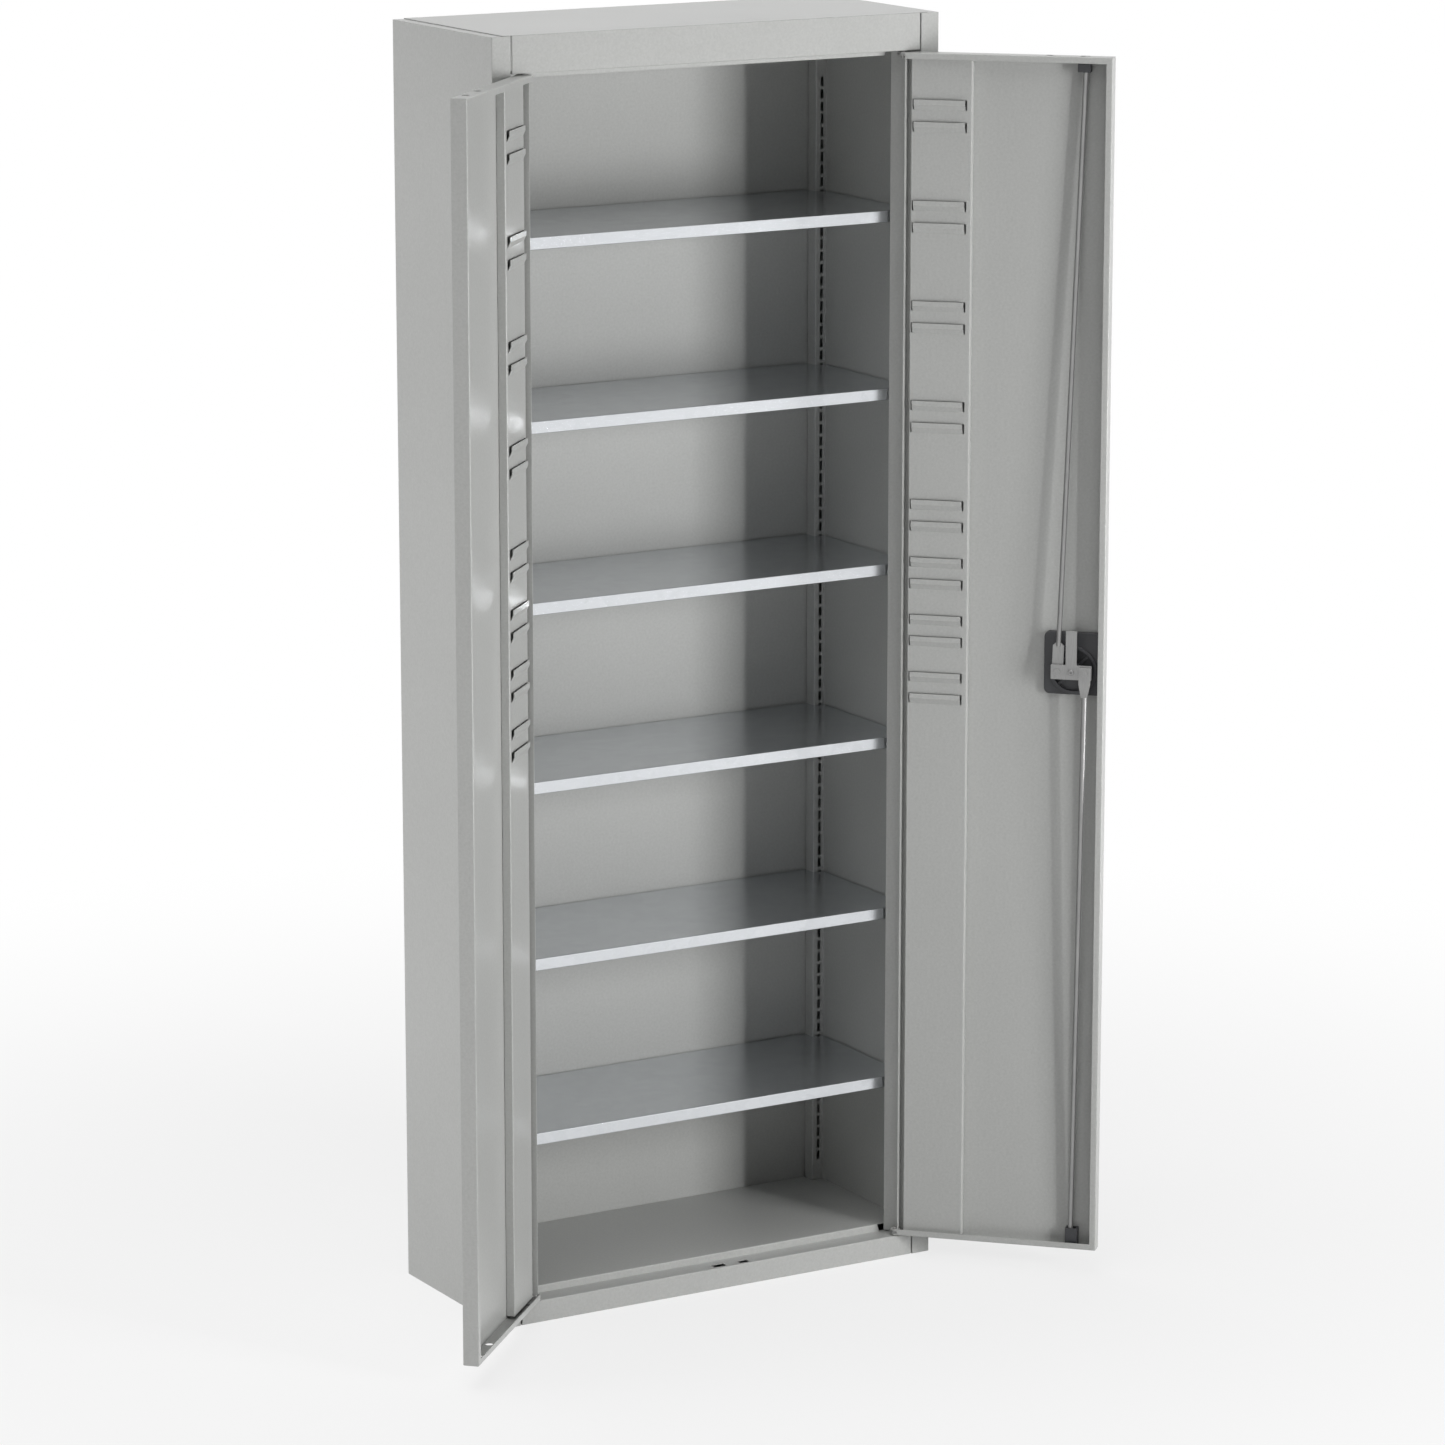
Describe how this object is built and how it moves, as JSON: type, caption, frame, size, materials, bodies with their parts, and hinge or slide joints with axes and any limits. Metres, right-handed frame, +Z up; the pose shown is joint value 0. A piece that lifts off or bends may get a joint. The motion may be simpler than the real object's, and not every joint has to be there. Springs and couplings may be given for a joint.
{
  "type": "storage cupboard",
  "caption": "Tall shallow sheet-steel storage cupboard with shelves and two doors standing open; a turning handle drives locking rods up and down.",
  "frame": {"origin": "on the floor, half way across the width, in the middle of the foot flange under the plinth, 12.5 mm behind the front face", "axes": "+X to the right of someone facing the doors, +Y from the doors to the back, +Z up"},
  "size_m": [0.9978, 0.4832, 1.74],
  "materials": {
    "grey_paint": "satin light grey powder coat",
    "zinc_sheet": "galvanised sheet, satin",
    "zinc_plate": "bright zinc plated",
    "pin_steel": "turned steel",
    "white_plastic": "matt",
    "black_plastic": "matt moulded",
    "black_handle": "semi-gloss moulded",
    "bright_nickel": "polished nickel"
  },
  "bodies": {
    "carcass": {"side_panel_left": "grey_paint", "side_panel_right": "grey_paint", "inner_wall_left": "grey_paint", "inner_wall_right": "grey_paint", "back_panel": "grey_paint", "top_panel": "grey_paint", "floor_panel": "grey_paint", "shelf_1": "zinc_sheet", "shelf_2": "zinc_sheet", "shelf_3": "zinc_sheet", "shelf_4": "zinc_sheet", "shelf_5": "zinc_sheet", "shelf_6": "zinc_sheet", "shelf_clips": "zinc_plate", "hinge_pins": "pin_steel", "hinge_washers": "white_plastic"},
    "left_door": {"left_door_panel": "grey_paint", "left_door_stiffener": "grey_paint", "left_pivot_plates": "zinc_plate", "left_pivot_bushes": "white_plastic"},
    "right_door": {"right_door_panel": "grey_paint", "right_door_stiffener": "grey_paint", "right_pivot_plates": "zinc_plate", "right_pivot_bushes": "white_plastic", "lock_housing": "black_plastic", "lock_rose": "black_handle", "rod_guide_top": "black_plastic", "rod_guide_bottom": "black_plastic"},
    "handle": {"handle_knob": "black_handle", "lock_spindle": "zinc_plate", "lock_cam": "zinc_plate", "cam_rod_pins": "zinc_plate", "cam_screw": "zinc_plate"},
    "key_plug": {"lock_plug": "bright_nickel"},
    "rod_up": {"upper_rod": "zinc_plate"},
    "rod_down": {"lower_rod": "zinc_plate"}
  },
  "joints": [
    {"name": "left_door_hinge", "type": "hinge", "parent": "carcass", "child": "left_door", "pos_m": [-0.2895, -0.0035, 0], "axis": [0, 0, 1], "range_deg": [0, 135]},
    {"name": "right_door_hinge", "type": "hinge", "parent": "carcass", "child": "right_door", "pos_m": [0.2895, -0.0035, 0], "axis": [0, 0, 1], "range_deg": [-135, 0]},
    {"name": "handle_turn", "type": "hinge", "parent": "right_door", "child": "handle", "pos_m": [0.46168, -0.17568, 0.853], "axis": [0.7071, 0.7071, 0], "range_deg": [0, 90]},
    {"name": "upper_rod_pivot", "type": "hinge", "parent": "handle", "child": "rod_up", "pos_m": [0.44796, -0.16196, 0.853], "axis": [0.7071, 0.7071, 0], "range_deg": [-91.6, 0]},
    {"name": "lower_rod_pivot", "type": "hinge", "parent": "handle", "child": "rod_down", "pos_m": [0.4754, -0.1894, 0.853], "axis": [0.7071, 0.7071, 0], "range_deg": [-91.6, 0]},
    {"name": "key_turn", "type": "hinge", "parent": "handle", "child": "key_plug", "pos_m": [0.46168, -0.17568, 0.853], "axis": [0.7071, 0.7071, 0], "range_deg": [0, 90]}
  ],
  "couplings": [
    {"joint": "upper_rod_pivot", "follows": "handle_turn", "ratio": -1.0149},
    {"joint": "lower_rod_pivot", "follows": "handle_turn", "ratio": -1.0154}
  ]
}
